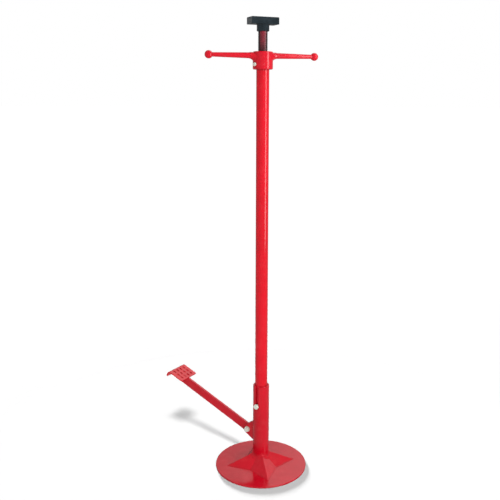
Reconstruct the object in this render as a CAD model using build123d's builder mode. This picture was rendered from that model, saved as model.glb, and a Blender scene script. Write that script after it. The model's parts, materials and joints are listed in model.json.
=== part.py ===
from build123d import *
import os
from math import cos, isclose, pi, radians, sin

# Under-hoist support stand: a tall screw column on a round base, raised by a spin handle,
# with a foot pedal that gives the column a quick lift. Millimetres, +Z up.
# The origin is on the floor, on the column's axis. The pedal points along -X, and the pivot
# bolt and the guide bolt lie along Y with their heads on the -Y side.

# ---------------------------------------------------------------- driving dimensions
BASE_D = 286.0              # round base plate, 11 1/4 in
BASE_T = 5.0
BASE_EDGE_R = 1.5
BASE_UNDER_BEVEL = 0.5

STAR_TIP_R = 108.0          # four-pointed star gusset: tips, notches between them, rise of its peak
STAR_NOTCH_R = 58.0
STAR_RISE = 46.0
STAR_WALL = 5.0             # sheet, measured upright
STAR_CROWN = 0.2            # the star is cut off at this share of its outline, inside the sleeve

SLEEVE_OD = 50.0
SLEEVE_ID = 38.7
SLEEVE_TOP = 267.0
SLEEVE_RIM_BEVEL = 0.8
WINDOW_LOW = 78.0           # slot in the sleeve's side that the pedal's finger passes through
WINDOW_HIGH = 132.0
WINDOW_CORNER_R = 2.0

TUBE_OD = 38.1              # column tube, 1 1/2 in
TUBE_ID = 32.9
TUBE_TOP = 1252.0

PIVOT_X = -46.0             # pedal pivot
PIVOT_Z = 109.0
PIVOT_D = 9.5               # 3/8 in bolt
EAR_GAP = 8.2               # between the two bracket ears
EAR_T = 5.0
EAR_NOSE_R = 14.5
EAR_LOW_Z = 80.5            # where the ears meet the sleeve
EAR_HIGH_Z = 140.0
EAR_ROOT = 3.0              # width of the ears' straight end, sunk to the sleeve's surface
PIVOT_HOLE_PLAY = 0.1       # radial
PIVOT_AF = 14.3             # hexagon across its flats
PIVOT_HEAD_H = 6.0
PIVOT_NUT_H = 8.4
PIVOT_BOLT_L = 32.5
PIVOT_WASHER_OD = 18.0
PIVOT_WASHER_T = 1.6

ARM_RISE_DEG = 21.3         # slope of the pedal arm at rest
ARM_W = 28.0                # flat bar on edge
ARM_T = 7.0
ARM_LENGTH = 307.0          # pivot to the outer end
ARM_CORNER_R = 4.0
ARM_SWING_DEG = 38.5        # pedal stroke
NOSE_R = 9.0                # rounded finger under the column's foot
NOSE_REACH = 55.8           # pivot to the finger's centre
NOSE_DROP_DEG = 22.5        # finger's centre below the pivot at rest
FOOT_GAP = 0.5              # finger to the column's foot
FINGER_STEP_X = -21.5       # the finger's flat starts here
FINGER_HEEL_X = -24.0       # rounded heel that carries the flat back towards the pivot
FINGER_HEEL_R = 8.0

BUSH_OD = 16.0
HEAD_BEVEL_DEG = 60.0       # from the bolt's axis
BOLT_TIP = 0.8              # bevel at a bolt's end
BUSH_END_PLAY = 0.1         # each side, between the ears
RUNNING = 0.05              # radial clearance of running fits

PEDAL_MID = 298.5           # pivot to the middle of the foot plate, along the arm
PEDAL_L = 60.0
PEDAL_W = 78.0
PEDAL_T = 3.5
PEDAL_LIP = 23.5
PEDAL_LIP_FLARE = 5.0
PEDAL_BEND_R = 7.0
PEDAL_LIP_CORNER_R = 9.0
PEDAL_CORNER_R = 3.0
SAME_LENGTH = 0.01          # tolerance for picking the plate's corner edges by their length
TREAD_SLOT = (11.0, 3.8)    # length along the arm, width
TREAD_PITCH = (16.5, 15.6)
TREAD_COUNT = (3, 4)
TREAD_SHIFT = -2.0          # the slots' middle is this far from the plate's, along the arm

FOOT_FLANGE_T = 4.0         # plug that closes the column's lower end
FOOT_PLUG_H = 14.0
FOOT_BEVEL = 1.0

GUIDE_Z = 203.0             # guide bolt through the column, riding in the sleeve's two open slots
GUIDE_D = 9.5               # 3/8 in bolt
GUIDE_SLOT_W = 10.3
GUIDE_SLOT_FLOOR_PLAY = 0.2 # slot's lower end below the bolt's play
GUIDE_FLOAT = 0.4           # bolt head and nut clear of the sleeve
GUIDE_AF = 14.3
GUIDE_HEAD_H = 6.0
GUIDE_NUT_H = 8.4
GUIDE_TAIL = 11.0           # shank past the nut's seat

SCREW_D = 28.0              # trapezoidal lifting screw, 5 mm lead, drawn at its major diameter
SCREW_TRAVEL = 640.0
SCREW_BEVEL = 1.0
SCREW_TOP_PLAY = 0.1        # screw's shoulder under the saddle's neck
SADDLE_JOURNAL_D = 20.0
SADDLE_JOURNAL_TOP = 1373.0
SADDLE_SOCKET_TOP = 1373.5
SADDLE_GROOVE_D = 15.2      # groove that the saddle's pin rides in
SADDLE_GROOVE_W = 5.8
STOP_D = 31.4               # collar on the screw's foot that stops it at the top of its travel
STOP_H = 16.0
STOP_JOURNAL_D = 18.0
STOP_JOURNAL_END = 2.0      # journal standing out below the collar
STOP_PIN_D = 5.0
STOP_PIN_SHY = 0.6          # pin's ends inside the collar's surface
STOP_TOP_GAP = 1.0          # left under the column's top ring at full travel

HUB_D = 58.8                # spin handle's hub, a nut over a thrust bearing
HUB_LOW = 1236.0
HUB_TOP = 1287.0
HUB_SHOULDER = 1266.0       # underside of the nut, on the upper race
SKIRT_ID = 48.0
SKIRT_BOLT_Z = 1250.0
SKIRT_BOLT_D = 6.0
SKIRT_BOLT_AF = 10.0
SKIRT_BOLT_HEAD_H = 4.0
SKIRT_BOLT_TIP_R = 21.2     # axis to the bolts' tips, in the collar's groove
SKIRT_BOLT_FROM_ARM_DEG = 20.0
SPOTFACE_R = 6.6            # flat that a skirt bolt's head sits on
SPOTFACE_SINK = 0.9
HUB_BEVEL = 2.0
MOUTH_BEVEL = 1.5           # lead-in around the screw
HANDLE_AZIMUTH = 53.0       # direction of one arm at rest
HANDLE_Z = 1275.5
HANDLE_ROOT_R = 9.4         # arm's radius past its flared root, and at the ball
HANDLE_TIP_R = 6.1
ROOT_L = 11.0               # flared root: reach past the hub's side, and its growth up to
ROOT_RISE = 1.0             # as far inside the hub: above, below and to each side
ROOT_DROP = 26.0
ROOT_SPREAD = 12.0
ROOT_SHARES = (1.0, 0.6, 0.3, 0.0)
BALL_R = 11.7
BALL_REACH = 163.0          # axis to the ball's centre

COLLAR_D = 46.4             # ring on the column's top, grooved for the skirt bolts
COLLAR_LOW = 1238.5
COLLAR_LIP_D = 29.6
GROOVE_D = 41.2
GROOVE_W = 7.0
BEARING_LOW = 1258.0
RACE_T = 3.0
RACE_ID = 30.0
BEARING_BALL_D = 5.0
BALL_CIRCLE_R = 19.0
BALL_COUNT = 18
RACE_CLEARANCE = 0.1
CAGE_OD = 44.8
CAGE_ID = 31.2
CAGE_T = 1.4

SADDLE_NECK_D = 36.4
SADDLE_NECK_LOW = 1344.3
SADDLE_NECK_FILLET = 3.0
NECK_BEVEL = 1.0
SADDLE_BLOCK_LOW = 1363.5
SADDLE_TOP = 1383.5
SADDLE_L = 85.0
SADDLE_W = 43.0
SADDLE_AZIMUTH = 56.0
SADDLE_PIN_D = 5.0
SADDLE_PIN_Z = 1354.0
SADDLE_PIN_L = 28.8
SADDLE_PIN_PLAY = 0.2       # pin to the groove's floor
SADDLE_CORNER_R = 2.5
SADDLE_BEVEL = 1.5

# ---------------------------------------------------------------- derived sizes
arm_rise = radians(ARM_RISE_DEG)
nose_drop = radians(NOSE_DROP_DEG)
nose_x = PIVOT_X + NOSE_REACH * cos(nose_drop)
nose_z = PIVOT_Z - NOSE_REACH * sin(nose_drop)
finger_top = nose_z + NOSE_R
foot_low = finger_top + FOOT_GAP
pedal_lift = NOSE_REACH * (sin(nose_drop) + sin(radians(ARM_SWING_DEG) - nose_drop))
arm_plane = Plane(
    origin=(PIVOT_X, 0, PIVOT_Z),
    x_dir=(-cos(arm_rise), 0, sin(arm_rise)),
    z_dir=(0, 1, 0),
)
ear_face = EAR_GAP / 2 + EAR_T
slot_low = GUIDE_Z - GUIDE_SLOT_W / 2 - GUIDE_SLOT_FLOOR_PLAY
guide_reach = SLEEVE_OD / 2 + GUIDE_FLOAT
ball_z = (BEARING_LOW + HUB_SHOULDER) / 2
seat_r = HUB_D / 2 - SPOTFACE_SINK
screw_shoulder = SADDLE_NECK_LOW - SCREW_TOP_PLAY
stop_top = TUBE_TOP - STOP_TOP_GAP - SCREW_TRAVEL
stop_low = stop_top - STOP_H

print(f"pedal lift {pedal_lift:.2f} mm for {ARM_SWING_DEG} degrees")
print(f"finger centre {nose_x:.2f}, {nose_z:.2f}; column foot at {foot_low:.2f}")

os.makedirs("parts", exist_ok=True)


# ---------------------------------------------------------------- helpers
def tube(outer_d, inner_d, low, high):
    """Adds an upright tube between two heights to the part being built."""
    with BuildSketch(Plane.XY.offset(low)) as ring:
        Circle(outer_d / 2)
        Circle(inner_d / 2, mode=Mode.SUBTRACT)
    extrude(ring.sketch, amount=high - low)


def hex_head(plane, across_flats, height):
    """Adds a hexagon standing on the plane, its outer corners bevelled."""
    with BuildSketch(plane) as hexagon:
        RegularPolygon(across_flats / 2, 6, major_radius=False)
    with BuildSketch(plane.offset(height)) as crown:
        Circle(across_flats / 2)
    bevel = extrude(crown.sketch, amount=-height, taper=-HEAD_BEVEL_DEG, mode=Mode.PRIVATE)
    add(extrude(hexagon.sketch, amount=height, mode=Mode.PRIVATE) & bevel)


def hex_bolt(plane, diameter, across_flats, head_height, length):
    """Adds a bolt: the head stands on the plane and the shank runs behind it."""
    hex_head(plane, across_flats, head_height)
    for start, depth, taper in ((0, length - BOLT_TIP, 0), (length - BOLT_TIP, BOLT_TIP, 45)):
        with BuildSketch(plane.offset(-start)) as shank:
            Circle(diameter / 2)
        extrude(shank.sketch, amount=-depth, taper=taper)


def hex_nut(plane, diameter, across_flats, height):
    """Adds a nut standing on the plane."""
    hex_head(plane, across_flats, height)
    with BuildSketch(plane) as hole:
        Circle(diameter / 2)
    extrude(hole.sketch, amount=height, mode=Mode.SUBTRACT)


def washer(plane, outer_d, inner_d, thickness):
    """Adds a flat washer standing on the plane."""
    with BuildSketch(plane) as ring:
        Circle(outer_d / 2)
        Circle(inner_d / 2, mode=Mode.SUBTRACT)
    extrude(ring.sketch, amount=thickness)


def star_outline(scale):
    """Eight corners of the star: tips on the diagonals, notches between them."""
    corners = []
    for k in range(8):
        radius = scale * (STAR_TIP_R if k % 2 else STAR_NOTCH_R)
        corners.append((radius * cos(k * pi / 4), radius * sin(k * pi / 4)))
    return corners


def save(piece, name):
    """Labels a finished piece and writes its STEP file."""
    piece.part.label = name
    export_step(piece.part, f"parts/{name}.step")


# ---------------------------------------------------------------- base
with BuildPart() as base_plate:
    with BuildSketch():
        Circle(BASE_D / 2)
    extrude(amount=BASE_T)
    fillet(edges().group_by(Axis.Z)[-1], BASE_EDGE_R)
    chamfer(edges().group_by(Axis.Z)[0], BASE_UNDER_BEVEL)
save(base_plate, "base_plate")

with BuildPart() as star_gusset:
    for share, mode in ((0.0, Mode.ADD), (STAR_WALL / STAR_RISE, Mode.SUBTRACT)):
        low_scale = 1 - share
        with BuildSketch(Plane.XY.offset(BASE_T)):
            Polygon(*star_outline(low_scale), align=None)
        with BuildSketch(Plane.XY.offset(BASE_T + STAR_RISE * (low_scale - STAR_CROWN))):
            Polygon(*star_outline(STAR_CROWN), align=None)
        loft(ruled=True, mode=mode)
    with BuildSketch():
        Circle(SLEEVE_OD / 2)
    extrude(amount=2 * STAR_RISE, mode=Mode.SUBTRACT)
save(star_gusset, "star_gusset")

with BuildPart() as sleeve_tube:
    tube(SLEEVE_OD, SLEEVE_ID, BASE_T, SLEEVE_TOP)
    chamfer(edges().group_by(Axis.Z)[-1], SLEEVE_RIM_BEVEL)
    with BuildSketch(Plane.XZ):
        with Locations((0, slot_low + GUIDE_SLOT_W / 2)):
            Circle(GUIDE_SLOT_W / 2)
            Rectangle(GUIDE_SLOT_W, SLEEVE_TOP - slot_low, align=(Align.CENTER, Align.MIN))
    extrude(amount=SLEEVE_OD, both=True, mode=Mode.SUBTRACT)
    with BuildSketch(Plane.YZ):
        with Locations((0, (WINDOW_LOW + WINDOW_HIGH) / 2)):
            RectangleRounded(EAR_GAP - 2 * BUSH_END_PLAY, WINDOW_HIGH - WINDOW_LOW, WINDOW_CORNER_R)
    extrude(amount=-SLEEVE_OD, mode=Mode.SUBTRACT)
save(sleeve_tube, "sleeve_tube")

with BuildPart() as pedal_ears:
    with BuildSketch(Plane.XZ.offset(EAR_GAP / 2)):
        with Locations((PIVOT_X, PIVOT_Z)):
            Circle(EAR_NOSE_R)
        with Locations((-SLEEVE_OD / 2, (EAR_LOW_Z + EAR_HIGH_Z) / 2)):
            Rectangle(EAR_ROOT, EAR_HIGH_Z - EAR_LOW_Z)
        make_hull()
        with Locations((PIVOT_X, PIVOT_Z)):
            Circle(PIVOT_D / 2 + PIVOT_HOLE_PLAY, mode=Mode.SUBTRACT)
    extrude(amount=EAR_T)
    mirror(about=Plane.XZ)
    with BuildSketch():
        Circle(SLEEVE_OD / 2)
    extrude(amount=SLEEVE_TOP, mode=Mode.SUBTRACT)
save(pedal_ears, "pedal_ears")

pivot_front = Plane(origin=(PIVOT_X, -ear_face, PIVOT_Z), x_dir=(1, 0, 0), z_dir=(0, -1, 0))
pivot_back = Plane(origin=(PIVOT_X, ear_face, PIVOT_Z), x_dir=(1, 0, 0), z_dir=(0, 1, 0))

with BuildPart() as pivot_washers:
    washer(pivot_front, PIVOT_WASHER_OD, PIVOT_D, PIVOT_WASHER_T)
    washer(pivot_back, PIVOT_WASHER_OD, PIVOT_D, PIVOT_WASHER_T)
save(pivot_washers, "pivot_washers")

with BuildPart() as pivot_bolt:
    hex_bolt(pivot_front.offset(PIVOT_WASHER_T), PIVOT_D, PIVOT_AF, PIVOT_HEAD_H, PIVOT_BOLT_L)
save(pivot_bolt, "pivot_bolt")

with BuildPart() as pivot_nut:
    hex_nut(pivot_back.offset(PIVOT_WASHER_T), PIVOT_D, PIVOT_AF, PIVOT_NUT_H)
save(pivot_nut, "pivot_nut")

# ---------------------------------------------------------------- pedal
with BuildPart() as pedal_arm:
    with BuildSketch(arm_plane):
        with Locations((ARM_LENGTH / 2, 0)):
            Rectangle(ARM_LENGTH, ARM_W)
        fillet(vertices().group_by(Axis.X)[0], ARM_CORNER_R)
        Circle(ARM_W / 2)
    extrude(amount=ARM_T / 2, both=True)
    with BuildSketch(Plane.XZ):
        with Locations((PIVOT_X, PIVOT_Z)):
            Circle(ARM_W / 2)
        with Locations((FINGER_HEEL_X, finger_top - FINGER_HEEL_R)):
            Circle(FINGER_HEEL_R)
        with Locations((nose_x, nose_z)):
            Circle(NOSE_R)
        make_hull()
    extrude(amount=ARM_T / 2, both=True)
    with BuildSketch(Plane.XZ):
        with Locations((FINGER_STEP_X, finger_top)):
            Rectangle(NOSE_REACH, ARM_W, align=(Align.MIN, Align.MIN))
    extrude(amount=ARM_T, both=True, mode=Mode.SUBTRACT)
    with BuildSketch(arm_plane):
        Circle(BUSH_OD / 2)
    extrude(amount=ARM_T, both=True, mode=Mode.SUBTRACT)
save(pedal_arm, "pedal_arm")

with BuildPart() as pivot_bush:
    with BuildSketch(Plane(origin=(PIVOT_X, 0, PIVOT_Z), z_dir=(0, 1, 0))):
        Circle(BUSH_OD / 2)
        Circle(PIVOT_D / 2 + RUNNING, mode=Mode.SUBTRACT)
    extrude(amount=EAR_GAP / 2 - BUSH_END_PLAY, both=True)
save(pivot_bush, "pivot_bush")

with BuildPart() as pedal_plate:
    plate_v = ARM_W / 2 + PEDAL_T / 2
    plate_end = PEDAL_MID + PEDAL_L / 2 - PEDAL_T / 2
    with BuildSketch(arm_plane):
        with BuildLine():
            FilletPolyline(
                (PEDAL_MID - PEDAL_L / 2, plate_v),
                (plate_end, plate_v),
                (plate_end + PEDAL_LIP_FLARE, plate_v - PEDAL_LIP),
                radius=PEDAL_BEND_R,
            )
        trace(line_width=PEDAL_T)
    extrude(amount=PEDAL_W / 2, both=True)
    ends = edges().filter_by(lambda edge: isclose(edge.length, PEDAL_T, rel_tol=SAME_LENGTH)).group_by(Axis.X)
    fillet(ends[0], PEDAL_LIP_CORNER_R)
    fillet(ends[-1], PEDAL_CORNER_R)
    tread_plane = Plane(
        origin=arm_plane.from_local_coords((PEDAL_MID + TREAD_SHIFT, ARM_W / 2, 0)),
        x_dir=arm_plane.x_dir,
        z_dir=arm_plane.y_dir,
    )
    with BuildSketch(tread_plane):
        with GridLocations(*TREAD_PITCH, *TREAD_COUNT):
            SlotOverall(*TREAD_SLOT)
    extrude(amount=PEDAL_T, mode=Mode.SUBTRACT)
save(pedal_plate, "pedal_plate")

# ---------------------------------------------------------------- column
with BuildPart() as column_foot:
    with BuildSketch(Plane.XY.offset(foot_low)):
        Circle(TUBE_OD / 2)
    extrude(amount=FOOT_FLANGE_T)
    chamfer(edges().group_by(Axis.Z)[0], FOOT_BEVEL)
    with BuildSketch(Plane.XY.offset(foot_low + FOOT_FLANGE_T)):
        Circle(TUBE_ID / 2)
    extrude(amount=FOOT_PLUG_H)
save(column_foot, "column_foot")

with BuildPart() as column_tube:
    tube(TUBE_OD, TUBE_ID, foot_low + FOOT_FLANGE_T, TUBE_TOP)
    with BuildSketch(Plane.XZ):
        with Locations((0, GUIDE_Z)):
            Circle(GUIDE_D / 2)
    extrude(amount=TUBE_OD, both=True, mode=Mode.SUBTRACT)
save(column_tube, "column_tube")

guide_front = Plane(origin=(0, -guide_reach, GUIDE_Z), x_dir=(1, 0, 0), z_dir=(0, -1, 0))
guide_back = Plane(origin=(0, guide_reach, GUIDE_Z), x_dir=(1, 0, 0), z_dir=(0, 1, 0))

with BuildPart() as guide_bolt:
    hex_bolt(guide_front, GUIDE_D, GUIDE_AF, GUIDE_HEAD_H, 2 * guide_reach + GUIDE_TAIL)
save(guide_bolt, "guide_bolt")

with BuildPart() as guide_nut:
    hex_nut(guide_back, GUIDE_D, GUIDE_AF, GUIDE_NUT_H)
save(guide_nut, "guide_nut")

with BuildPart() as top_collar:
    tube(COLLAR_D, TUBE_OD, COLLAR_LOW, TUBE_TOP)
    tube(COLLAR_D, COLLAR_LIP_D, TUBE_TOP, BEARING_LOW)
    with BuildSketch(Plane.XY.offset(SKIRT_BOLT_Z - GROOVE_W / 2)):
        Circle(COLLAR_D)
        Circle(GROOVE_D / 2, mode=Mode.SUBTRACT)
    extrude(amount=GROOVE_W, mode=Mode.SUBTRACT)
save(top_collar, "top_collar")

# ---------------------------------------------------------------- thrust bearing
race_profiles = {
    "lower_race": (BEARING_LOW, COLLAR_D),
    "upper_race": (HUB_SHOULDER - RACE_T, SKIRT_ID - 2 * RUNNING),
}
for race_name, (race_low, race_d) in race_profiles.items():
    with BuildPart() as race:
        tube(race_d, RACE_ID, race_low, race_low + RACE_T)
        with Locations((0, 0, ball_z)):
            Torus(BALL_CIRCLE_R, BEARING_BALL_D / 2 + RACE_CLEARANCE, mode=Mode.SUBTRACT)
    save(race, race_name)

with BuildPart() as bearing_balls:
    with Locations((0, 0, ball_z)):
        with PolarLocations(BALL_CIRCLE_R, BALL_COUNT):
            Sphere(BEARING_BALL_D / 2)
save(bearing_balls, "bearing_balls")

with BuildPart() as bearing_cage:
    with BuildSketch(Plane.XY.offset(ball_z - CAGE_T / 2)):
        Circle(CAGE_OD / 2)
        Circle(CAGE_ID / 2, mode=Mode.SUBTRACT)
        with PolarLocations(BALL_CIRCLE_R, BALL_COUNT):
            Circle(BEARING_BALL_D / 2 + RACE_CLEARANCE, mode=Mode.SUBTRACT)
    extrude(amount=CAGE_T)
save(bearing_cage, "bearing_cage")

# ---------------------------------------------------------------- spin handle
handle_x = Vector(1, 0, 0).rotate(Axis.Z, HANDLE_AZIMUTH)
handle_plane = Plane(origin=(0, 0, HANDLE_Z), x_dir=handle_x, z_dir=Vector(0, 0, 1).cross(handle_x))


def skirt_bolt_plane(turn):
    """Plane of a skirt bolt's seat, facing outwards."""
    outwards = Vector(1, 0, 0).rotate(Axis.Z, HANDLE_AZIMUTH + SKIRT_BOLT_FROM_ARM_DEG + turn)
    seat = outwards * seat_r + Vector(0, 0, SKIRT_BOLT_Z)
    return Plane(origin=seat, x_dir=(0, 0, 1), z_dir=outwards)


with BuildPart() as spin_handle:
    with BuildSketch(handle_plane):
        with BuildLine():
            Polyline((0, 0), (0, HANDLE_ROOT_R), (BALL_REACH, HANDLE_TIP_R), (BALL_REACH, 0), (0, 0))
        make_face()
    revolve(axis=Axis((0, 0, HANDLE_Z), handle_x))
    for share in ROOT_SHARES:
        growth = share**2
        top = HANDLE_ROOT_R + ROOT_RISE * growth
        bottom = HANDLE_ROOT_R + ROOT_DROP * growth
        reach = HUB_D / 2 + ROOT_L * (1 - 2 * share)
        middle = handle_x * reach + Vector(0, 0, HANDLE_Z + (top - bottom) / 2)
        with BuildSketch(Plane(origin=middle, x_dir=(0, 0, 1), z_dir=handle_x)):
            Ellipse((top + bottom) / 2, HANDLE_ROOT_R + ROOT_SPREAD * growth)
    loft()
    mirror(about=Plane(origin=(0, 0, 0), z_dir=handle_x))
    with Locations(handle_plane):
        with Locations((BALL_REACH, 0, 0), (-BALL_REACH, 0, 0)):
            Sphere(BALL_R)
    with BuildSketch(Plane.XZ):
        with Locations((0, HUB_LOW)):
            Rectangle(HUB_D / 2, HUB_TOP - HUB_LOW, align=(Align.MIN, Align.MIN))
        chamfer(vertices().group_by(Axis.X)[-1], HUB_BEVEL)
    revolve(axis=Axis.Z)
    with BuildSketch(Plane.XZ):
        bore_r = SCREW_D / 2 + RUNNING
        Polygon(
            (0, HUB_LOW),
            (SKIRT_ID / 2, HUB_LOW),
            (SKIRT_ID / 2, HUB_SHOULDER),
            (bore_r, HUB_SHOULDER),
            (bore_r, HUB_TOP - MOUTH_BEVEL),
            (bore_r + MOUTH_BEVEL, HUB_TOP),
            (0, HUB_TOP),
            align=None,
        )
    revolve(axis=Axis.Z, mode=Mode.SUBTRACT)
    for turn in (0, 180):
        with BuildSketch(skirt_bolt_plane(turn)):
            Circle(SPOTFACE_R)
        extrude(amount=2 * SPOTFACE_SINK, mode=Mode.SUBTRACT)
        with BuildSketch(skirt_bolt_plane(turn)):
            Circle(SKIRT_BOLT_D / 2)
        extrude(amount=SKIRT_BOLT_TIP_R - seat_r, mode=Mode.SUBTRACT)
save(spin_handle, "spin_handle")

with BuildPart() as retaining_bolts:
    for turn in (0, 180):
        shank = seat_r - SKIRT_BOLT_TIP_R
        hex_bolt(skirt_bolt_plane(turn), SKIRT_BOLT_D, SKIRT_BOLT_AF, SKIRT_BOLT_HEAD_H, shank)
save(retaining_bolts, "retaining_bolts")

# ---------------------------------------------------------------- lifting screw
with BuildPart() as lift_screw:
    with BuildSketch(Plane.XY.offset(stop_low - STOP_JOURNAL_END)):
        Circle(STOP_JOURNAL_D / 2)
    extrude(amount=STOP_H + STOP_JOURNAL_END)
    with BuildSketch(Plane.XY.offset(stop_top)):
        Circle(SCREW_D / 2)
    extrude(amount=screw_shoulder - stop_top)
    chamfer(edges().group_by(Axis.Z)[-1], SCREW_BEVEL)
    with BuildSketch(Plane.XY.offset(screw_shoulder)):
        Circle(SADDLE_JOURNAL_D / 2)
    extrude(amount=SADDLE_JOURNAL_TOP - screw_shoulder)
    with BuildSketch(Plane.XY.offset(SADDLE_PIN_Z - SADDLE_GROOVE_W / 2)):
        Circle(SADDLE_JOURNAL_D)
        Circle(SADDLE_GROOVE_D / 2, mode=Mode.SUBTRACT)
    extrude(amount=SADDLE_GROOVE_W, mode=Mode.SUBTRACT)
    with BuildSketch(Plane.YZ):
        with Locations((0, stop_low + STOP_H / 2)):
            Circle(STOP_PIN_D / 2)
    extrude(amount=SCREW_D, both=True, mode=Mode.SUBTRACT)
save(lift_screw, "lift_screw")

with BuildPart() as stop_collar:
    tube(STOP_D, STOP_JOURNAL_D, stop_low, stop_top)
    with BuildSketch(Plane.YZ):
        with Locations((0, stop_low + STOP_H / 2)):
            Circle(STOP_PIN_D / 2)
    extrude(amount=SCREW_D, both=True, mode=Mode.SUBTRACT)
save(stop_collar, "stop_collar")

with BuildPart() as stop_pin:
    with BuildSketch(Plane.YZ):
        with Locations((0, stop_low + STOP_H / 2)):
            Circle(STOP_PIN_D / 2)
    extrude(amount=STOP_D / 2 - STOP_PIN_SHY, both=True)
save(stop_pin, "stop_pin")

# ---------------------------------------------------------------- saddle
saddle_x = Vector(1, 0, 0).rotate(Axis.Z, SADDLE_AZIMUTH)
saddle_plane = Plane(origin=(0, 0, SADDLE_BLOCK_LOW), x_dir=saddle_x, z_dir=(0, 0, 1))
pin_offset = SADDLE_GROOVE_D / 2 + SADDLE_PIN_PLAY + SADDLE_PIN_D / 2
pin_plane = Plane(
    origin=(pin_offset * saddle_plane.y_dir) + Vector(0, 0, SADDLE_PIN_Z),
    z_dir=saddle_x,
)

with BuildPart() as saddle:
    with BuildSketch(saddle_plane):
        RectangleRounded(SADDLE_L, SADDLE_W, SADDLE_CORNER_R)
    extrude(amount=SADDLE_TOP - SADDLE_BLOCK_LOW)
    chamfer(edges().group_by(Axis.Z)[-1], SADDLE_BEVEL)
    with BuildSketch(Plane.XZ):
        with BuildLine():
            neck_r = SADDLE_NECK_D / 2
            Polyline(
                (neck_r, SADDLE_BLOCK_LOW - SADDLE_NECK_FILLET),
                (neck_r, SADDLE_NECK_LOW + NECK_BEVEL),
                (neck_r - NECK_BEVEL, SADDLE_NECK_LOW),
                (0, SADDLE_NECK_LOW),
                (0, SADDLE_BLOCK_LOW),
                (neck_r + SADDLE_NECK_FILLET, SADDLE_BLOCK_LOW),
            )
            TangentArc(
                (neck_r, SADDLE_BLOCK_LOW - SADDLE_NECK_FILLET),
                (neck_r + SADDLE_NECK_FILLET, SADDLE_BLOCK_LOW),
                tangent=(0, 1),
            )
        make_face()
    revolve(axis=Axis.Z)
    with BuildSketch(Plane.XY.offset(SADDLE_NECK_LOW)):
        Circle(SADDLE_JOURNAL_D / 2 + RUNNING)
    extrude(amount=SADDLE_SOCKET_TOP - SADDLE_NECK_LOW, mode=Mode.SUBTRACT)
    with BuildSketch(pin_plane):
        Circle(SADDLE_PIN_D / 2)
    extrude(amount=SADDLE_NECK_D, both=True, mode=Mode.SUBTRACT)
save(saddle, "saddle")

with BuildPart() as saddle_pin:
    with BuildSketch(pin_plane):
        Circle(SADDLE_PIN_D / 2)
    extrude(amount=SADDLE_PIN_L / 2, both=True)
save(saddle_pin, "saddle_pin")
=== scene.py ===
import json
import math

import bmesh
import bpy
import numpy as np
from mathutils import Matrix, Vector


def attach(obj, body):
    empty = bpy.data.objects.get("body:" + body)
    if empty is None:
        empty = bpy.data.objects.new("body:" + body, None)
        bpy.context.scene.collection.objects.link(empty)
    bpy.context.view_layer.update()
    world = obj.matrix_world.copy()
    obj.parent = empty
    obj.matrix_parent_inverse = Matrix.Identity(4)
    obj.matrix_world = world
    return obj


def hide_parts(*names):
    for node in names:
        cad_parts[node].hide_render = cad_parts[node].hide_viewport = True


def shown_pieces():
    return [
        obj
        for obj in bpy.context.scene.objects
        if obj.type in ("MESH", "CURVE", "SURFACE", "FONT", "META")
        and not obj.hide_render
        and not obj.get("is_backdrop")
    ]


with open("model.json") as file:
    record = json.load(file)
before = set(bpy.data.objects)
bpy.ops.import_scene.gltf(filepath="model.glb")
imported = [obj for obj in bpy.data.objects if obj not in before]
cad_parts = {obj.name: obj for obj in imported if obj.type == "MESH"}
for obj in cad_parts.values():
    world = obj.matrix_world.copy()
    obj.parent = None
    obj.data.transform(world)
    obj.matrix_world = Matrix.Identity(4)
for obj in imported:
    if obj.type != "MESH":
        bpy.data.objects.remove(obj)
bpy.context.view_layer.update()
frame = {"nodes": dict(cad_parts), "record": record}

nodes = frame["nodes"]

# ---------------------------------------------------------------- sizes of the CAD part, in metres
SCREW_R, SCREW_ROOT_R, THREAD_LEAD, THREAD_STARTS = 0.0140, 0.0125, 0.005, 2
SCREW_FOOT, STOP_TOP = 0.593, 0.611     # the thread runs from the stop collar to the saddle's neck
FOOT_CHAMFER, HEAD_CHAMFER = 0.0006, 0.0008
SHOULDER_Z = 1.3442
FOOT_JOURNAL_R, HEAD_JOURNAL_R, GROOVE_R = 0.0090, 0.0100, 0.0076
GROOVE_LOW, GROOVE_HIGH, SCREW_END = 1.3511, 1.3569, 1.3730
NUT_LOW, NUT_HIGH, NUT_BORE_R = 1.2665, 1.2850, 0.01405

BASE_TOP = 0.005
STAR_TIP_R, STAR_NOTCH_R, STAR_RISE, STAR_WALL = 0.108, 0.058, 0.046, 0.005
STAR_TIP_ROUND, STAR_NOTCH_ROUND = 0.0022, 0.007
STAR_TUCK = 0.0006                      # how far the star runs into the sleeve's wall
SLEEVE_R = 0.025
PIVOT = Vector((-0.046, 0.0, 0.109))
PIVOT_D, PIVOT_AF, PIVOT_HEAD, PIVOT_NUT, PIVOT_LENGTH = 0.0095, 0.0143, 0.0060, 0.0084, 0.0325
PIVOT_SEAT = 0.0107                     # bolt's seat from the middle, on the washers
INCH_PITCH = 0.0016                     # 3/8 in coarse thread
PIVOT_THREADED, GUIDE_THREADED = 0.0135, 0.0160
EAR_FACE, EAR_LOW_Z, EAR_HIGH_Z = 0.0091, 0.0805, 0.140
GUIDE_Z, GUIDE_D, GUIDE_AF, GUIDE_HEAD, GUIDE_NUT = 0.203, 0.0095, 0.0143, 0.0060, 0.0084
GUIDE_SEAT, GUIDE_LENGTH = 0.0254, 0.0618
SKIRT_BOLT_Z, SKIRT_SEAT_R, SKIRT_BOLT_AZIMUTH = 1.250, 0.0285, 73.0
SKIRT_BOLT_D, SKIRT_BOLT_AF, SKIRT_BOLT_HEAD, SKIRT_BOLT_LENGTH = 0.006, 0.010, 0.004, 0.0073
SKIRT_THREADED, SKIRT_PITCH = 0.004, 0.001
ARM_RISE = math.radians(21.3)
ARM_HALF_W, ARM_HALF_T, ARM_LENGTH = 0.014, 0.0035, 0.307
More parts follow.
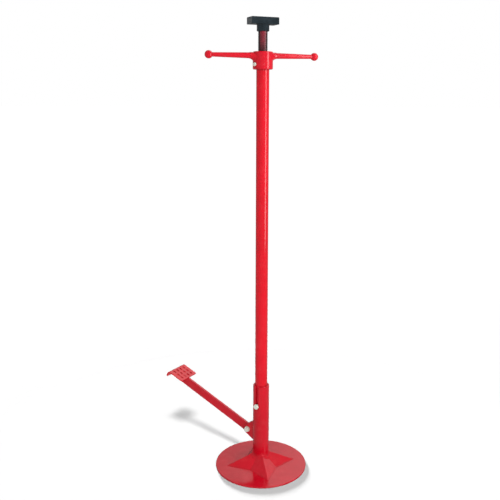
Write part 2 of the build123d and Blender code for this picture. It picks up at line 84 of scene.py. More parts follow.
PLATE_MID, PLATE_L, PLATE_T = 0.2985, 0.060, 0.0035
TREAD_L, TREAD_W, TREAD_SHIFT = 0.011, 0.0038, -0.002
TREAD_PITCH = (0.0165, 0.0156)


SPRAY_SIDE = (0.545, -0.839, 0.0)       # the side that the red dust came from

# ---------------------------------------------------------------- material helper
class Paint:
    """A material's node tree with short calls for the nodes used here."""

    def __init__(self, name):
        self.material = bpy.data.materials.new(name)
        self.material.use_nodes = True
        self.tree = self.material.node_tree
        self.tree.nodes.clear()
        self.shader = self.node("ShaderNodeBsdfPrincipled")
        output = self.node("ShaderNodeOutputMaterial")
        self.tree.links.new(self.shader.outputs[0], output.inputs[0])
        self.place = self.node("ShaderNodeTexCoord").outputs["Object"]

    def node(self, kind, **settings):
        made = self.tree.nodes.new(kind)
        for name, value in settings.items():
            setattr(made, name, value)
        return made

    def feed(self, socket, value):
        """Sets a socket to a number or colour, or links it to another socket."""
        if isinstance(value, bpy.types.NodeSocket):
            self.tree.links.new(value, socket)
        elif isinstance(value, tuple) and len(value) == 3 and socket.type == "RGBA":
            socket.default_value = (*value, 1.0)
        else:
            socket.default_value = value

    def set(self, **values):
        for name, value in values.items():
            self.feed(self.shader.inputs[name.replace("_", " ")], value)

    def noise(self, scale, detail=3.0, rough=0.5, stretch=(1, 1, 1)):
        mapping = self.node("ShaderNodeMapping")
        self.feed(mapping.inputs["Vector"], self.place)
        mapping.inputs["Scale"].default_value = stretch
        made = self.node("ShaderNodeTexNoise")
        self.feed(made.inputs["Vector"], mapping.outputs[0])
        self.feed(made.inputs["Scale"], scale)
        self.feed(made.inputs["Detail"], detail)
        self.feed(made.inputs["Roughness"], rough)
        return made.outputs["Fac"]

    def span(self, value, low, high, out_low=0.0, out_high=1.0):
        """Maps value from low..high to out_low..out_high, clamped."""
        made = self.node("ShaderNodeMapRange")
        for socket, number in zip(made.inputs, (value, low, high, out_low, out_high)):
            self.feed(socket, number)
        return made.outputs[0]

    def height(self, low, high):
        """0 below one height of the part and 1 above another, at rest."""
        split = self.node("ShaderNodeSeparateXYZ")
        self.feed(split.inputs[0], self.place)
        return self.span(split.outputs["Z"], low, high)

    def side(self, direction, low, high):
        """0 below one distance from the column's axis along direction and 1 above another, at rest."""
        along = self.node("ShaderNodeVectorMath", operation="DOT_PRODUCT")
        self.feed(along.inputs[0], self.place)
        along.inputs[1].default_value = direction
        return self.span(along.outputs["Value"], low, high)

    def math(self, operation, a, b=0.0):
        made = self.node("ShaderNodeMath", operation=operation)
        self.feed(made.inputs[0], a)
        self.feed(made.inputs[1], b)
        return made.outputs[0]

    def mix(self, share, a, b):
        made = self.node("ShaderNodeMix", data_type="RGBA")
        self.feed(made.inputs["Factor"], share)
        self.feed(made.inputs[6], a)
        self.feed(made.inputs[7], b)
        return made.outputs[2]

    def edges(self, radius):
        """1 on convex edges of this radius and 0 on flats."""
        bevel = self.node("ShaderNodeBevel", samples=6)
        self.feed(bevel.inputs["Radius"], radius)
        geometry = self.node("ShaderNodeNewGeometry")
        dot = self.node("ShaderNodeVectorMath", operation="DOT_PRODUCT")
        self.feed(dot.inputs[0], bevel.outputs[0])
        self.feed(dot.inputs[1], geometry.outputs["Normal"])
        return self.span(dot.outputs["Value"], 0.985, 0.90)

    def corner_shade(self, distance):
        """Mask for painted shade: 1 in corners and gaps, 0 in the open."""
        made = self.node("ShaderNodeAmbientOcclusion", samples=8)
        self.feed(made.inputs["Distance"], distance)
        return self.span(made.outputs["AO"], 0.9, 0.35)

    def bump(self, *layers, round_edges=0.0007):
        """Layers of (height, depth in metres) over a surface whose edges look rounded off."""
        bevel = self.node("ShaderNodeBevel", samples=5)
        self.feed(bevel.inputs["Radius"], round_edges)
        normal = bevel.outputs[0]
        for height, depth in layers:
            made = self.node("ShaderNodeBump")
            self.feed(made.inputs["Strength"], 1.0)
            self.feed(made.inputs["Distance"], depth)
            self.feed(made.inputs["Height"], height)
            self.feed(made.inputs["Normal"], normal)
            normal = made.outputs[0]
        self.set(Normal=normal)


def red_paint(name, deep, bright, wear=0.3, cast=0.0):
    """Glossy red enamel over steel: orange peel, dust, painted shade that darkens the corners a little,
    chips on the edges.
    Cast is the depth in metres of the sand-cast grain under the paint."""
    p = Paint(name)
    colour = p.mix(p.span(p.noise(9, 4), 0.3, 0.7), deep, bright)
    streak = p.span(p.noise(30, 3, 0.5, (1, 1, 0.12)), 0.35, 0.7)
    colour = p.mix(p.math("MULTIPLY", streak, 0.35), colour, tuple(0.86 * v for v in deep))
    # painted shade: the red turns darker in corners and gaps
    colour = p.mix(p.math("MULTIPLY", p.corner_shade(0.010), 0.30), colour, (0.22, 0.003, 0.008))
    dust = p.math("MULTIPLY", p.span(p.noise(38, 6, 0.65), 0.5, 0.75), 0.03)
    colour = p.mix(dust, colour, (0.80, 0.30, 0.28))
    ragged = p.math("MULTIPLY", p.edges(0.0011), p.span(p.noise(260, 5, 0.7), 0.52, 0.60))
    scratch = p.span(p.noise(70, 6, 0.75, (6, 1, 1)), 0.70, 0.74)
    chip = p.math("MULTIPLY", p.math("MAXIMUM", ragged, p.math("MULTIPLY", scratch, 0.5)), wear)
    colour = p.mix(chip, colour, (0.20, 0.12, 0.11))
    smudge = p.span(p.noise(26, 5, 0.6), 0.3, 0.75, 0.08, 0.19)
    p.set(
        Base_Color=colour,
        Roughness=p.math("ADD", smudge, p.math("MULTIPLY", chip, 0.4)),
        Metallic=0.0,
        IOR=1.5,
        Coat_Weight=0.1,
        Coat_Roughness=0.06,
    )
    peel = [(p.noise(420, 2), 0.00003), (p.noise(60, 2), 0.00006)]
    if cast:
        peel += [(p.noise(650, 4, 0.6), cast), (p.noise(150, 3, 0.6), 4 * cast)]
    p.bump(*peel)
    return p.material


def zinc(name, tint=(0.80, 0.90, 0.83), warm=(0.86, 0.84, 0.70)):
    """Bright zinc plate: faintly coloured clouds, fine turning marks."""
    p = Paint(name)
    colour = p.mix(p.span(p.noise(180, 3), 0.35, 0.65), tint, warm)
    # painted shade: the zinc turns dark brown-grey in corners and gaps
    colour = p.mix(p.math("MULTIPLY", p.corner_shade(0.004), 0.5), colour, (0.20, 0.17, 0.15))
    p.set(
        Base_Color=colour,
        Metallic=0.35,
        Roughness=p.span(p.noise(420, 4), 0.3, 0.7, 0.20, 0.40),
    )
    p.bump((p.noise(1500, 3), 0.00002), (p.noise(300, 2), 0.00004), round_edges=0.0004)
    return p.material


def oiled_steel(name, overspray=None, base=(0.035, 0.03, 0.032), bare=(0.16, 0.15, 0.15)):
    """Dark oiled steel, brighter where it rubs. Overspray is the heights between which red paint
    dust sets in on its front."""
    p = Paint(name)
    worn = p.math("MULTIPLY", p.edges(0.0007), p.span(p.noise(220, 4), 0.35, 0.6))
    colour = p.mix(p.math("MULTIPLY", worn, 0.8), base, bare)
    # painted shade: the steel turns near-black in corners and gaps
    colour = p.mix(p.math("MULTIPLY", p.corner_shade(0.004), 0.7), colour, (0.012, 0.010, 0.009))
    metal = 0.85
    if overspray:
        low, high = overspray
        mist = p.math("MULTIPLY", p.height(low, high), p.span(p.noise(90, 4), 0.25, 0.6, 0.62, 1.0))
        mist = p.math("MULTIPLY", mist, p.side(SPRAY_SIDE, 0.0085, 0.0120))
        colour = p.mix(mist, colour, (0.30, 0.022, 0.040))
        metal = p.span(mist, 0.0, 0.6, 0.7, 0.05)
    p.set(
        Base_Color=colour,
        Metallic=metal,
        Roughness=p.span(p.noise(140, 5, 0.6), 0.3, 0.7, 0.22, 0.42),
        Coat_Weight=0.3,
        Coat_Roughness=0.15,
    )
    p.bump((p.noise(1200, 3), 0.00002), (p.noise(240, 3), 0.00005), round_edges=0.0004)
    return p.material


def cast_black(name):
    """Blue-black paint over a sand casting, rubbed on its edges."""
    p = Paint(name)
    colour = p.mix(p.span(p.noise(70, 4), 0.35, 0.7), (0.012, 0.020, 0.025), (0.022, 0.034, 0.042))
    worn = p.math("MULTIPLY", p.edges(0.0012), p.span(p.noise(180, 5, 0.7), 0.50, 0.64))
    colour = p.mix(p.math("MULTIPLY", worn, 0.5), colour, (0.11, 0.12, 0.13))
    p.set(
        Base_Color=colour,
        Metallic=0.0,
        Roughness=p.span(p.noise(300, 4), 0.3, 0.7, 0.34, 0.55),
        IOR=1.4,
    )
    p.bump((p.noise(900, 3, 0.6), 0.00008), (p.noise(240, 3, 0.6), 0.00022), round_edges=0.0012)
    return p.material


def bearing_steel(name):
    p = Paint(name)
    colour = p.mix(p.noise(300, 3), (0.52, 0.52, 0.53), (0.66, 0.65, 0.64))
    # painted shade: the steel turns dark brown in corners and gaps
    colour = p.mix(p.math("MULTIPLY", p.corner_shade(0.003), 0.7), colour, (0.10, 0.08, 0.05))
    p.set(Base_Color=colour, Metallic=1.0, Roughness=p.span(p.noise(500, 3), 0.3, 0.7, 0.10, 0.24))
    p.bump((p.noise(2000, 2), 0.00001), round_edges=0.0003)
    return p.material


def bronze(name):
    p = Paint(name)
    colour = p.mix(p.noise(260, 4), (0.45, 0.27, 0.11), (0.62, 0.42, 0.20))
    p.set(Base_Color=colour, Metallic=1.0, Roughness=p.span(p.noise(700, 3), 0.3, 0.7, 0.25, 0.45))
    p.bump((p.noise(1400, 3), 0.00003), round_edges=0.0003)
    return p.material


RED = red_paint("red_enamel", (0.47, 0.001, 0.010), (0.56, 0.003, 0.016))
RED_TUBE = red_paint("red_enamel_tube", (0.54, 0.001, 0.009), (0.63, 0.002, 0.014), wear=0.2)
# the pedal plate's enamel, also used on its tread rims, is paler and pinker than the rest: painted sheen
# from light falling on its top, over the red paint
RED_PLATE_SHEEN = red_paint("red_enamel_plate_sheen", (0.56, 0.011, 0.019), (0.65, 0.018, 0.026))
RED_CAST = red_paint("red_enamel_cast", (0.50, 0.002, 0.012), (0.60, 0.004, 0.018), cast=0.00006)
STEEL = oiled_steel("oiled_steel")
SCREW_STEEL = oiled_steel("screw_steel", overspray=(1.270, 1.335))
ZINC = zinc("zinc_plate")
BY_SLOT = {
    "red_paint": RED,
    "zinc_plate": ZINC,
    "bronze": bronze("bronze"),
    "bearing_steel": bearing_steel("bearing_steel"),
    "screw_steel": STEEL,
    "saddle_iron": cast_black("cast_black"),
}
BY_NODE = {"column_tube": RED_TUBE, "spin_handle": RED_CAST, "pedal_plate": RED_PLATE_SHEEN}
for row in frame["record"]["subparts"]:
    node = nodes[row["node"]]
    node.data.materials.clear()
    node.data.materials.append(BY_NODE.get(row["node"], BY_SLOT[row["material_slot"]]))


# ---------------------------------------------------------------- mesh helpers
AROUND = 48                     # points around a round piece
rng = np.random.default_rng(7)


def frame_at(origin, x_axis, z_axis):
    """Matrix that puts a piece drawn along +Z at origin, its Z along z_axis."""
    z = Vector(z_axis).normalized()
    x = Vector(x_axis).normalized()
    y = z.cross(x)
    return Matrix((
        (x.x, y.x, z.x, origin[0]),
        (x.y, y.y, z.y, origin[1]),
        (x.z, y.z, z.z, origin[2]),
        (0, 0, 0, 1),
    ))


def circle(radius, z):
    """A ring of points; radius is a number or a function of the angle."""
    ring = []
    for k in range(AROUND):
        angle = 2 * math.pi * k / AROUND
        r = radius(angle) if callable(radius) else radius
        height = z(angle) if callable(z) else z
        ring.append((r * math.cos(angle), r * math.sin(angle), height))
    return ring


class Shape:
    """Points and faces of one mesh, gathered part by part."""

    def __init__(self):
        self.verts, self.faces = [], []

    def rows(self, rows, place=None, loop=False):
        """Joins closed rows of points with quads; loop joins the last row to the first."""
        if loop:
            rows = rows + rows[:1]
        first, width = len(self.verts), len(rows[0])
        for row in rows:
            self.verts.extend(tuple(place @ Vector(p)) if place else tuple(p) for p in row)
        for i in range(len(rows) - 1):
            for k in range(width):
                a, b = first + i * width + k, first + i * width + (k + 1) % width
                self.faces.append((a, b, b + width, a + width))

    def thread(self, start, low, high, lead, profile, end_r, place=None):
        """A right-hand thread whose profile is (share of the lead, radius), cut off at two heights."""
        first, steps = len(self.verts), len(profile)
        turns = range(math.floor((low - start) / lead) - 1, math.ceil((high - start) / lead) + 1)
        for turn in turns:
            for share, radius in profile:
                for k in range(AROUND):
                    angle = 2 * math.pi * k / AROUND
                    z = start + (turn + share + k / AROUND) * lead
                    r = radius if low < z < high else end_r
                    point = Vector((r * math.cos(angle), r * math.sin(angle), min(max(z, low), high)))
                    self.verts.append(tuple(place @ point) if place else tuple(point))
        count = len(turns) * steps
        for i in range(count - 1):
            for k in range(AROUND):
                a = first + i * AROUND + k
                b = a + 1
                if k == AROUND - 1:         # the last column meets the first one turn further up
                    if i + steps + 1 >= count:
                        continue
                    b = first + (i + steps) * AROUND
                self.faces.append((a, b, b + AROUND, a + AROUND))

    def build(self, name, material, body, smooth_deg=35, instead_of=None):
        mesh = bpy.data.meshes.new(name)
        mesh.from_pydata(self.verts, [], self.faces)
        made = bmesh.new()
        made.from_mesh(mesh)
        bmesh.ops.remove_doubles(made, verts=made.verts, dist=1e-7)
        bmesh.ops.dissolve_degenerate(made, edges=made.edges, dist=1e-8)
        loose = [v for v in made.verts if not v.link_faces]
        bmesh.ops.delete(made, geom=loose, context="VERTS")
        bmesh.ops.recalc_face_normals(made, faces=made.faces)
        open_edges = sum(1 for edge in made.edges if len(edge.link_faces) != 2)
        made.to_mesh(mesh)
        made.free()
        print(f"piece {name}: {len(mesh.polygons)} faces, {open_edges} open edges")
        piece = bpy.data.objects.new(name, mesh)
        bpy.context.scene.collection.objects.link(piece)
        mesh.materials.append(material)
        for polygon in mesh.polygons:
            polygon.use_smooth = True
        mesh.set_sharp_from_angle(angle=math.radians(smooth_deg))
        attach(piece, body)
        if instead_of:
            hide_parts(instead_of)
        return piece


# details that every bolt and nut shares
LAND_SHARE, HEX_CHAMFER = 0.475, math.radians(30)      # round land's radius per width across flats
HEAD_DISH, FACE_TOP, FACE_STEP = 0.0003, 0.0007, 0.0004
END_CHAMFER, THREAD_DEPTH = 0.0008, 0.6
NUT_LEAD_IN, NUT_PLAY = 0.0009, 0.00005


def hexagon(across_flats):
    """Radius of a hexagon at an angle, with a corner on X."""
    return lambda angle: across_flats / 2 / math.cos(angle % (math.pi / 3) - math.pi / 6)


def hex_crown(across_flats, height):
    """Rows of a hexagon's chamfered face, from its round land down to its sides."""
    land, outline = LAND_SHARE * across_flats, hexagon(across_flats)
    drop = math.tan(HEX_CHAMFER)
    return [
        circle(land, height),
        circle(lambda a: (land + outline(a)) / 2, lambda a: height - (outline(a) - land) / 2 * drop),
        circle(outline, lambda a: height - (outline(a) - land) * drop),
    ]


def bolt(shape, place, diameter, across_flats, head, length, threaded, pitch):
    """A hexagon bolt: its seat at the frame's origin, the head along +Z and the shank behind."""
    land, outline, r = LAND_SHARE * across_flats, hexagon(across_flats), diameter / 2
    root = r - THREAD_DEPTH * pitch
    shape.rows([
        circle(0.0, head - HEAD_DISH),
        circle(0.80 * land, head - HEAD_DISH),
        circle(0.86 * land, head),
        *hex_crown(across_flats, head),
        circle(outline, FACE_TOP),
        circle(land, FACE_STEP),
        circle(land, 0.0),
        circle(r, 0.0),
        circle(r, threaded - length),
        circle(root, threaded - length),
    ], place)
    profile = ((0.0, root), (0.12, root), (0.50, r), (0.62, r))
    end = END_CHAMFER - length
    shape.thread(-length, end, threaded - length, pitch, profile, root, place)
    shape.rows([circle(root, end), circle(root - 0.75 * END_CHAMFER, -length), circle(0.0, -length)], place)


def nut(shape, place, diameter, across_flats, height):
    """A hexagon nut standing on the frame's origin."""
    land, outline, r = LAND_SHARE * across_flats, hexagon(across_flats), diameter / 2 - NUT_PLAY
    lead_in = r + NUT_LEAD_IN
    shape.rows([
        circle(r, NUT_LEAD_IN),
        circle(r, height - NUT_LEAD_IN),
        circle(lead_in, height),
        *hex_crown(across_flats, height),
        circle(outline, FACE_TOP),
        circle(land, FACE_STEP),
        circle(land, 0.0),
        circle(lead_in, 0.0),
    ], place, loop=True)


BEAD_SIDES = 12


def bead(shape, path, radius, closed=False, pitch=0.0042):
    """A weld bead along a path: overlapping ripples, a little uneven."""
    path = [Vector(p) for p in path]
    count, rings = len(path), []
    run = 0.0
    for i, here in enumerate(path):
        if closed:
            before, after = path[i - 1], path[(i + 1) % count]
        else:
            before, after = path[max(i - 1, 0)], path[min(i + 1, count - 1)]
        ahead = (after - before).normalized()
        side = ahead.cross(Vector((0.31, 0.17, 0.93))).normalized()
        up = side.cross(ahead)
        run += (here - before).length if i else 0.0
        ripple = 1.0 + 0.10 * abs(math.sin(math.pi * run / pitch)) + 0.05 * (rng.random() - 0.5)
        taper = 1.0 if closed else min(1.0, 0.45 + 0.3 * min(i, count - 1 - i))
        r = radius * ripple * taper
        rings.append([
            here + r * (math.cos(t) * side + math.sin(t) * up)
            for t in (2 * math.pi * k / BEAD_SIDES for k in range(BEAD_SIDES))
        ])
    if closed:
        shape.rows(rings, loop=True)
    else:
        shape.rows([[path[0]] * BEAD_SIDES, *rings, [path[-1]] * BEAD_SIDES])


def line(start, end, step=0.0009):
    """Points along a straight line."""
    start, end = Vector(start), Vector(end)
    count = max(2, round((end - start).length / step))
    return [start.lerp(end, i / count) for i in range(count + 1)]


# ---------------------------------------------------------------- lifting screw and its nut
def multi_start(*tooth):
    """Profile of one lead of a thread with several starts, from one tooth's (share, radius)."""
    return [((start + share) / THREAD_STARTS, r) for start in range(THREAD_STARTS) for share, r in tooth]


screw = Shape()
screw.rows([
    circle(0.0, SCREW_FOOT),
    circle(FOOT_JOURNAL_R - FOOT_CHAMFER, SCREW_FOOT),
    circle(FOOT_JOURNAL_R, SCREW_FOOT + FOOT_CHAMFER),
    circle(FOOT_JOURNAL_R, STOP_TOP),
    circle(SCREW_ROOT_R, STOP_TOP),
])
screw.thread(
    STOP_TOP, STOP_TOP, SHOULDER_Z, THREAD_LEAD,
    multi_start((0.00, SCREW_ROOT_R), (0.34, SCREW_ROOT_R), (0.46, SCREW_R), (0.88, SCREW_R)),
    SCREW_ROOT_R,
)
screw.rows([
    circle(SCREW_ROOT_R, SHOULDER_Z),
    circle(HEAD_JOURNAL_R, SHOULDER_Z),
    circle(HEAD_JOURNAL_R, GROOVE_LOW),
    circle(GROOVE_R, GROOVE_LOW),
    circle(GROOVE_R, GROOVE_HIGH),
    circle(HEAD_JOURNAL_R, GROOVE_HIGH),
    circle(HEAD_JOURNAL_R, SCREW_END - HEAD_CHAMFER),
    circle(HEAD_JOURNAL_R - HEAD_CHAMFER, SCREW_END),
    circle(0.0, SCREW_END),
])
screw.build("screw_threaded", SCREW_STEEL, "lift_screw", 25, instead_of="lift_screw")

nut_crest_r = SCREW_ROOT_R + 0.0003     # clear of the screw
nut_back_r = NUT_BORE_R + 0.0004        # inside the nut's metal
nut_thread = Shape()
nut_thread.thread(
    STOP_TOP, NUT_LOW, NUT_HIGH, THREAD_LEAD,
    multi_start((0.04, nut_crest_r), (0.30, nut_crest_r), (0.42, NUT_BORE_R), (0.92, NUT_BORE_R)),
    nut_back_r,
)
nut_thread.rows([circle(nut_back_r, NUT_LOW), circle(nut_back_r, NUT_HIGH)])
nut_thread.build("nut_thread", STEEL, "spin_handle", 25)

# ---------------------------------------------------------------- bolts and nuts
piece = Shape()
place = frame_at(PIVOT + Vector((0, -PIVOT_SEAT, 0)), (1, 0, 0), (0, -1, 0))
bolt(piece, place, PIVOT_D, PIVOT_AF, PIVOT_HEAD, PIVOT_LENGTH, PIVOT_THREADED, INCH_PITCH)
piece.build("pivot_bolt_hex", ZINC, "base", 30, instead_of="pivot_bolt")

piece = Shape()
place = frame_at(PIVOT + Vector((0, PIVOT_SEAT, 0)), (1, 0, 0), (0, 1, 0))
nut(piece, place, PIVOT_D, PIVOT_AF, PIVOT_NUT)
piece.build("pivot_nut_hex", ZINC, "base", 30, instead_of="pivot_nut")

piece = Shape()
place = frame_at((0, -GUIDE_SEAT, GUIDE_Z), (1, 0, 0), (0, -1, 0))
bolt(piece, place, GUIDE_D, GUIDE_AF, GUIDE_HEAD, GUIDE_LENGTH, GUIDE_THREADED, INCH_PITCH)
piece.build("guide_bolt_hex", ZINC, "column", 30, instead_of="guide_bolt")

piece = Shape()
place = frame_at((0, GUIDE_SEAT, GUIDE_Z), (1, 0, 0), (0, 1, 0))
nut(piece, place, GUIDE_D, GUIDE_AF, GUIDE_NUT)
piece.build("guide_nut_hex", ZINC, "column", 30, instead_of="guide_nut")

piece = Shape()
for turn in (0, 180):
    azimuth = math.radians(SKIRT_BOLT_AZIMUTH + turn)
    outwards = Vector((math.cos(azimuth), math.sin(azimuth), 0))
    place = frame_at(outwards * SKIRT_SEAT_R + Vector((0, 0, SKIRT_BOLT_Z)), (0, 0, 1), outwards)
    bolt(
        piece, place, SKIRT_BOLT_D, SKIRT_BOLT_AF, SKIRT_BOLT_HEAD, SKIRT_BOLT_LENGTH,
        SKIRT_THREADED, SKIRT_PITCH,
    )
piece.build("retaining_bolts_hex", ZINC, "spin_handle", 30, instead_of="retaining_bolts")

# ---------------------------------------------------------------- star gusset, folded from sheet
ROUND_STEPS, SIDE_STEPS, STAR_ROWS = 6, 14, 14     # steps around a corner, along a side, up the slope
DENT = 0.00025                          # how far the sheet waves up and down


def star_outline():
    """Outline of the star with rounded tips and notches, as points on the base plate."""
    corners = []
    for k in range(8):
        r = STAR_TIP_R if k % 2 else STAR_NOTCH_R
        corner = Vector((r * math.cos(k * math.pi / 4), r * math.sin(k * math.pi / 4)))
        corners.append((corner, STAR_TIP_ROUND if k % 2 else STAR_NOTCH_ROUND))
    points = []
    for k, (corner, radius) in enumerate(corners):
        back = (corners[k - 1][0] - corner).normalized()
        on = (corners[(k + 1) % 8][0] - corner).normalized()
        half = back.angle(on) / 2
        inset = radius / math.tan(half)
        start, end = corner + back * inset, corner + on * inset
        centre = corner + (back + on).normalized() * (radius / math.sin(half))
        for i in range(ROUND_STEPS + 1):
            chord = start.lerp(end, i / ROUND_STEPS) - centre
            points.append(centre + chord.normalized() * radius)
        following, next_radius = corners[(k + 1) % 8]
        next_half = (corner - following).angle(corners[(k + 2) % 8][0] - following) / 2
        goal = following - on * (next_radius / math.tan(next_half))
        points.extend(end.lerp(goal, i / SIDE_STEPS) for i in range(1, SIDE_STEPS))
    return points


outline = star_outline()
dent = [DENT * math.sin(3.1 * i * 0.07 + 0.4) * math.sin(i * 0.19) for i in range(len(outline))]


def star_row(share, drop):
    """Outline shrunk by a share of the way to the sleeve, and raised to the star's slope."""
    row = []
    for point, wave in zip(outline, dent):
        inner = (SLEEVE_R - STAR_TUCK) / point.length
        s = 1 + (inner - 1) * share
        z = BASE_TOP + STAR_RISE * (1 - s) - drop + wave * math.sin(math.pi * share)
        row.append((point.x * s, point.y * s, max(z, BASE_TOP)))
    return row


star = Shape()
top_rows = [star_row(i / STAR_ROWS, 0.0) for i in range(STAR_ROWS + 1)]
under_rows = [star_row(i / STAR_ROWS, STAR_WALL) for i in range(STAR_ROWS, 1, -1)]
star.rows(top_rows + under_rows, loop=True)
star.build("star_folded", RED, "base", 50, instead_of="star_gusset")

# ---------------------------------------------------------------- weld beads
FILLET_W, FILLET_H = 0.007, 0.010       # dressed weld that blends the sleeve into the star
FILLET_STEPS, FILLET_SECTIONS = 8, 240
SKIN = 0.00005                          # how far a weld's edges stand proud of the plates
STAR_BEAD, EAR_BEAD, PEDAL_BEAD = 0.0013, 0.0026, 0.0020
outline_angles = [math.atan2(p.y, p.x) for p in outline]
outline_reach = [p.length for p in outline]


def star_height(radius, angle):
    reach = np.interp(angle, outline_angles, outline_reach, period=2 * math.pi)
    return BASE_TOP + STAR_RISE * (1 - radius / reach)


def fillet_section(angle):
    """Section through the dressed weld: a hollow curve from sleeve to star, closed in the metal."""
    corner_z = star_height(SLEEVE_R, angle)
    toe_z = star_height(SLEEVE_R + FILLET_W, angle)
    top, corner, toe = (
        Vector((SLEEVE_R + SKIN, corner_z + FILLET_H)),
        Vector((SLEEVE_R + 0.0002, corner_z + 0.0002)),
        Vector((SLEEVE_R + FILLET_W, toe_z + SKIN)),
    )
    steps = [k / FILLET_STEPS for k in range(FILLET_STEPS + 1)]
    section = [(1 - t) ** 2 * top + 2 * t * (1 - t) * corner + t * t * toe for t in steps]
    section += [toe - Vector((0, 0.001)), Vector((SLEEVE_R - 0.001, corner_z)), top - Vector((0.001, 0))]
    return [(r * math.cos(angle), r * math.sin(angle), z) for r, z in section]


welds = Shape()
welds.rows(
    [fillet_section(2 * math.pi * i / FILLET_SECTIONS) for i in range(FILLET_SECTIONS)],
    loop=True,
)
bead(welds, [(p.x * 1.002, p.y * 1.002, BASE_TOP) for p in outline], STAR_BEAD, closed=True)
ear_x = -math.sqrt(SLEEVE_R ** 2 - EAR_FACE ** 2)
for side in (-1, 1):
    y = side * EAR_FACE
    bead(welds, line((ear_x, y, EAR_LOW_Z), (ear_x, y, EAR_HIGH_Z)), EAR_BEAD)
welds.build("base_welds", RED, "base", 60)


def on_arm(u, v, w):
    """Point on the pedal: u along the arm from its pivot, v up from its middle, w across it."""
    along = Vector((-math.cos(ARM_RISE), 0, math.sin(ARM_RISE)))
    up = Vector((math.sin(ARM_RISE), 0, math.cos(ARM_RISE)))
    return PIVOT + u * along + v * up + w * Vector((0, 1, 0))


welds = Shape()
for side in (-1, 1):
    w = side * ARM_HALF_T
    start = on_arm(PLATE_MID - PLATE_L / 2 + PEDAL_BEAD, ARM_HALF_W, w)
    end = on_arm(ARM_LENGTH - 1.5 * PEDAL_BEAD, ARM_HALF_W, w)
    bead(welds, line(start, end), PEDAL_BEAD)
welds.build("pedal_welds", RED, "pedal", 60)

# ---------------------------------------------------------------- pedal's pierced treads
RIM_HALF_W, RIM_H, RIM_GAP, RIM_SINK = 0.0011, 0.0010, 0.0005, 0.0001
RIM_POINTS, RIM_ARC = 24, 8             # points around a slot, steps across its rim


def tread_rim(middle_u, middle_w):
    """Rows of the half-round rim raised around one slot of the pedal's plate."""
    reach = TREAD_W / 2 + RIM_GAP
    path = []
    for k in range(RIM_POINTS):
        t = 2 * math.pi * k / RIM_POINTS
        straight = math.copysign((TREAD_L - TREAD_W) / 2, math.cos(t))
        path.append((middle_u + straight + reach * math.cos(t), middle_w + reach * math.sin(t)))
    rings = []
    for k in range(RIM_ARC + 1):
        turn = math.pi * k / RIM_ARC
        out, rise = RIM_HALF_W * math.cos(turn), RIM_H * math.sin(turn)
        ring = []
        for u, w in path:
            from_middle = math.hypot(u - middle_u, w - middle_w)
            ring.append(on_arm(
                u + out * (u - middle_u) / from_middle,
                ARM_HALF_W + PLATE_T + rise - RIM_SINK,
                w + out * (w - middle_w) / from_middle,
            ))
        rings.append(ring)
    return rings


rims = Shape()
for i in (-1, 0, 1):
    for j in (-1.5, -0.5, 0.5, 1.5):
        middle = PLATE_MID + TREAD_SHIFT + i * TREAD_PITCH[0]
        rims.rows(tread_rim(middle, j * TREAD_PITCH[1]), loop=True)
rims.build("tread_rims", RED_PLATE_SHEEN, "pedal", 60)

# ---------------------------------------------------------------- camera
camera = bpy.data.objects.new("camera", bpy.data.cameras.new("camera"))
bpy.context.scene.collection.objects.link(camera)
bpy.context.scene.camera = camera
AZIMUTH, TILT, ROLL = math.radians(33.0), math.radians(9.13), math.radians(0.3)
DISTANCE, HEIGHT = 2.050, 1.1656
SENSOR, PICTURE = 36.0, 500.0           # sensor's width in mm, picture's width in pixels
eye = Vector((math.sin(AZIMUTH) * DISTANCE, -math.cos(AZIMUTH) * DISTANCE, HEIGHT))
ahead = Vector((-math.sin(AZIMUTH) * math.cos(TILT), math.cos(AZIMUTH) * math.cos(TILT), -math.sin(TILT)))
camera.rotation_mode = "QUATERNION"
camera.location = eye
camera.rotation_quaternion = ahead.to_track_quat("-Z", "Y") @ Matrix.Rotation(ROLL, 3, "Z").to_quaternion()
camera.data.sensor_width = SENSOR
camera.data.lens = SENSOR * 691.3 / PICTURE
camera.data.shift_x = 0.5 - 262.1 / PICTURE
camera.data.shift_y = 205.05 / PICTURE - 0.5

# ---------------------------------------------------------------- floor and light
BACKDROP = (-0.05, 0.70, 0.71)          # the bright part of the backdrop, behind and above


def link(lamp, blockers, lights):
    """Lights only these objects and, where blockers are given, lets only those cast the shadow."""
    for use, members in (("blocker", blockers), ("receiver", lights)):
        if members is not None:
            group = bpy.data.collections.new(f"{lamp.name}_{use}")
            for piece in members:
                group.objects.link(piece)
            setattr(lamp.light_linking, use + "_collection", group)


def sun(name, source, strength, angle_deg, lights, blockers=None):
    """A distant lamp shining from source towards the origin."""
    light = bpy.data.lights.new(name, "SUN")
    light.energy = strength
    light.angle = math.radians(angle_deg)
    lamp = bpy.data.objects.new(name, light)
    bpy.context.scene.collection.objects.link(lamp)
    lamp.rotation_mode = "QUATERNION"
    lamp.rotation_quaternion = (-Vector(source)).to_track_quat("-Z", "Y")
    lamp.visible_glossy = False
    link(lamp, blockers, lights)


def softbox(name, place, target, width, height, power, lights):
    light = bpy.data.lights.new(name, "AREA")
    light.shape = "RECTANGLE"
    light.size, light.size_y = width, height
    light.energy = power
    lamp = bpy.data.objects.new(name, light)
    bpy.context.scene.collection.objects.link(lamp)
    lamp.location = place
    lamp.rotation_mode = "QUATERNION"
    lamp.rotation_quaternion = (Vector(target) - Vector(place)).to_track_quat("-Z", "Y")
    lamp.visible_camera = False
    link(lamp, None, lights)


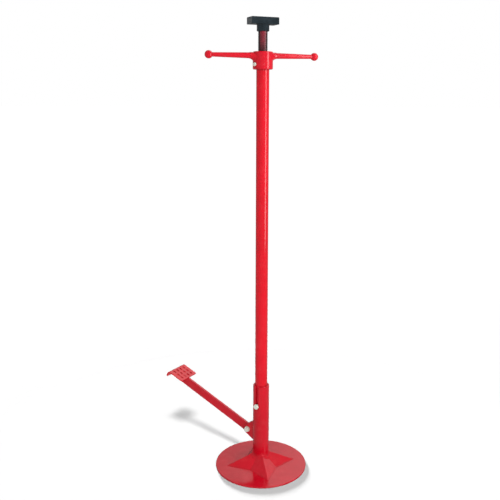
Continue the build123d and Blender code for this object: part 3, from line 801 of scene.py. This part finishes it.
def studio_floor():
    """A pale floor that fades into an evenly lit backdrop away from the stand."""
    floor = Paint("pale_floor")
    reach = floor.node("ShaderNodeVectorMath", operation="LENGTH")
    floor.feed(reach.inputs[0], floor.place)
    far = floor.span(reach.outputs["Value"], 1.0, 2.4)
    pale = floor.mix(floor.noise(6, 3), (0.0885, 0.0885, 0.0885), (0.0915, 0.0915, 0.0915))
    floor.material.cycles.emission_sampling = "NONE"
    floor.set(
        Base_Color=floor.mix(far, pale, (0.0, 0.0, 0.0)),
        Emission_Color=(1.0, 1.0, 1.0),
        Emission_Strength=floor.math("MULTIPLY", far, 1.03),
        Roughness=0.8,
        Specular_IOR_Level=0.1,
    )
    verts, faces = [(0.0, 0.0, 0.0)], []
    rings, around, edge_r = 24, 96, 60.0
    for i in range(1, rings + 1):
        radius = edge_r * (i / rings) ** 2.4
        for k in range(around):
            angle = 2 * math.pi * k / around
            verts.append((radius * math.cos(angle), radius * math.sin(angle), 0.0))
    for k in range(around):
        faces.append((0, 1 + k, 1 + (k + 1) % around))
    for i in range(rings - 1):
        for k in range(around):
            a, b = 1 + i * around + k, 1 + i * around + (k + 1) % around
            faces.append((a, a + around, b + around, b))
    mesh = bpy.data.meshes.new("floor")
    mesh.from_pydata(verts, [], faces)
    mesh.materials.append(floor.material)
    stage = bpy.data.objects.new("floor", mesh)
    bpy.context.scene.collection.objects.link(stage)
    stage.visible_glossy = False
    stage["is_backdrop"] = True
    return stage


def studio_world():
    """White backdrop behind the stand, dimmer on the camera's side, plain white where seen directly."""
    world = bpy.data.worlds.new("studio")
    bpy.context.scene.world = world
    world.use_nodes = True
    tree = world.node_tree
    background = tree.nodes["Background"]
    coords = tree.nodes.new("ShaderNodeTexCoord").outputs["Generated"]

    def ramp(vector, low, high):
        """0 below low and 1 above high, of the direction's length along vector."""
        along = tree.nodes.new("ShaderNodeVectorMath")
        along.operation = "DOT_PRODUCT"
        tree.links.new(coords, along.inputs[0])
        along.inputs[1].default_value = vector
        fade = tree.nodes.new("ShaderNodeMapRange")
        fade.interpolation_type = "SMOOTHSTEP"
        tree.links.new(along.outputs["Value"], fade.inputs[0])
        fade.inputs[1].default_value, fade.inputs[2].default_value = low, high
        return fade.outputs[0]

    def combine(operation, a, b):
        made = tree.nodes.new("ShaderNodeMath")
        made.operation = operation
        for socket, value in zip(made.inputs, (a, b)):
            if isinstance(value, float):
                socket.default_value = value
            else:
                tree.links.new(value, socket)
        return made.outputs[0]

    patch = combine("MULTIPLY", ramp(BACKDROP, 0.80, 0.97), ramp((0, 0, 1), 0.12, 0.36))
    level = combine("ADD", combine("MULTIPLY", patch, 1.0), 0.30)
    seen = tree.nodes.new("ShaderNodeLightPath").outputs["Is Camera Ray"]
    background.inputs["Color"].default_value = (1.0, 1.0, 1.0, 1.0)
    tree.links.new(combine("MAXIMUM", level, seen), background.inputs["Strength"])


floor = studio_floor()
studio_world()
pedal_pieces = [nodes[n] for n in frame["record"]["behaviour"]["bodies"]["pedal"]]
stand_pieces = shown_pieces()
not_saddle = [piece for piece in stand_pieces if piece != nodes["saddle"]]
sun("front", (0.78, -0.60, 0.22), 1.7, 30, lights=stand_pieces, blockers=[])
sun("top", (0.10, -0.25, 0.95), 1.1, 30, lights=stand_pieces)
sun("pedal_key", (0.106, -0.130, 0.235), 20.6, 9, lights=[floor], blockers=pedal_pieces)
sun("rear", (-0.74, 0.65, 0.121), 140.0, 6, lights=[floor], blockers=[nodes["base_plate"]])
softbox("right_box", (1.15, 0.10, 1.25), (0, 0, 1.15), 0.42, 1.6, 9.0, lights=[*not_saddle, floor])
softbox("saddle_box", (-1.20, 0.25, 1.40), (0, 0, 1.37), 0.6, 0.6, 0.8, lights=[nodes["saddle"]])
bpy.context.scene.view_settings.view_transform = "Standard"
